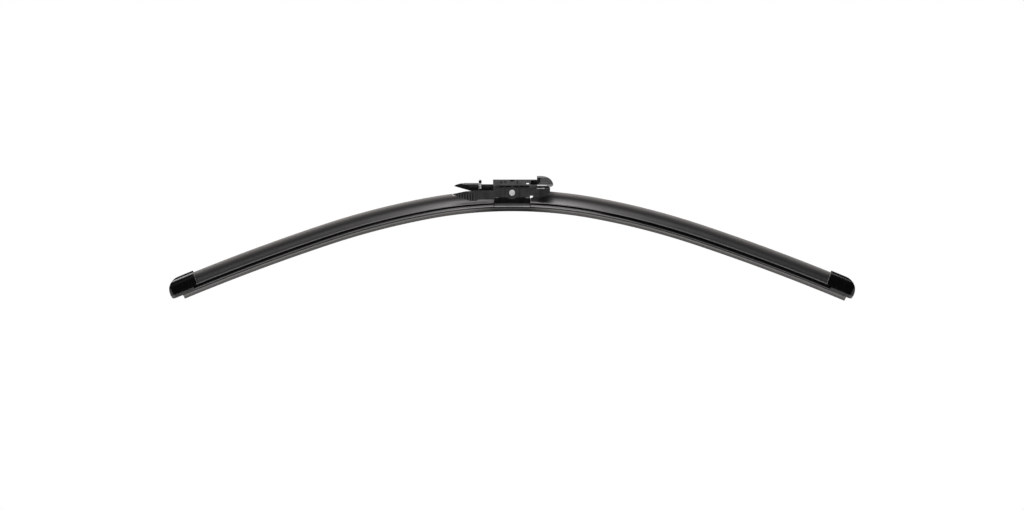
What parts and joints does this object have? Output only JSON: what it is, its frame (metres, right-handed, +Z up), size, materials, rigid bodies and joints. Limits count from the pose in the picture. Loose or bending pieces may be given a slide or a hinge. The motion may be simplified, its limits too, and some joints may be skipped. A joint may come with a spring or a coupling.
{
  "type": "wiper blade",
  "caption": "Bowed flat wiper blade with a hollow-flanked spoiler, rubber lip, end caps and a rocking centre adapter with a lock lever for the wiper arm.",
  "frame": {"origin": "centre of the adapter's flat top, straight above the pivot pin", "axes": "+X along the blade from the lever towards the nose, +Y across the blade, +Z up out of the adapter's flat top, away from the glass"},
  "size_m": [0.6238, 0.0184, 0.1136],
  "materials": {
    "lip_rubber": "matte, graphite dusted",
    "rail_steel": "black coated spring steel",
    "spoiler_rubber": "satin extruded rubber",
    "cap_plastic": "semi-gloss",
    "bracket_steel": "black e-coat",
    "pin_steel": "bright turned",
    "sleeve_steel": "plain",
    "adapter_plastic": "fine texture",
    "cover_plastic": "fine texture",
    "lever_plastic": "gloss",
    "thumb_plastic": "satin"
  },
  "bodies": {
    "adapter": {"adapter_base": "adapter_plastic", "adapter_cover": "cover_plastic"},
    "blade": {"wiper_rubber": "lip_rubber", "rail_front": "rail_steel", "rail_rear": "rail_steel", "spoiler_left": "spoiler_rubber", "spoiler_right": "spoiler_rubber", "end_cap_left": "cap_plastic", "end_cap_right": "cap_plastic", "connector_bracket": "bracket_steel", "pivot_pin": "pin_steel", "spacer_sleeve": "sleeve_steel"},
    "lever": {"lock_lever": "lever_plastic", "thumb_piece": "thumb_plastic"}
  },
  "joints": [
    {"name": "blade_rock", "type": "hinge", "parent": "adapter", "child": "blade", "pos_m": [0, 0, -0.012], "axis": [0, 1, 0], "range_deg": [-6, 6]},
    {"name": "lever_press", "type": "hinge", "parent": "adapter", "child": "lever", "pos_m": [-0.0143, 0, -0.009], "axis": [0, 1, 0], "range_deg": [-4, 3]}
  ]
}
